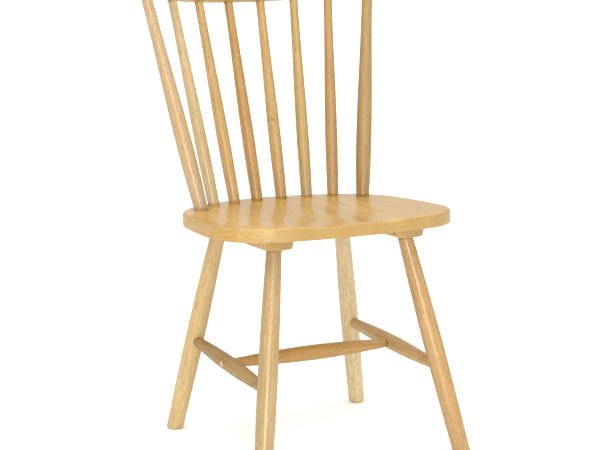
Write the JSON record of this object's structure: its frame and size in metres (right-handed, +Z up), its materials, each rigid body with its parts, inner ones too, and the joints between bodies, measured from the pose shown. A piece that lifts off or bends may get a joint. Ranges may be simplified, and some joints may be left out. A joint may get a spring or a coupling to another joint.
{
  "type": "dining chair",
  "caption": "Wooden spindle-back dining chair with a saddle seat, splayed turned legs, an H stretcher and a bent crest rail.",
  "frame": {"origin": "on the floor, below the middle of the chair's overall box", "axes": "+Z up, the chair faces -Y, +X towards the sitter's left hand"},
  "size_m": [0.5284, 0.5464, 0.8952],
  "materials": {
    "seat_wood": "satin",
    "turned_wood": "satin",
    "batten_wood": "satin",
    "rail_wood": "satin",
    "screw_steel": "zinc plated"
  },
  "bodies": {
    "root": {"seat": "seat_wood", "left_batten": "batten_wood", "right_batten": "batten_wood", "front_left_leg": "turned_wood", "front_right_leg": "turned_wood", "rear_left_leg": "turned_wood", "rear_right_leg": "turned_wood", "left_stretcher": "turned_wood", "right_stretcher": "turned_wood", "cross_stretcher": "turned_wood", "left_stile": "turned_wood", "right_stile": "turned_wood", "left_outer_spindle": "turned_wood", "left_middle_spindle": "turned_wood", "left_inner_spindle": "turned_wood", "right_inner_spindle": "turned_wood", "right_middle_spindle": "turned_wood", "right_outer_spindle": "turned_wood", "crest_rail": "rail_wood", "batten_screws": "screw_steel", "stretcher_screws": "screw_steel", "stretcher_plugs": "turned_wood"}
  },
  "joints": []
}
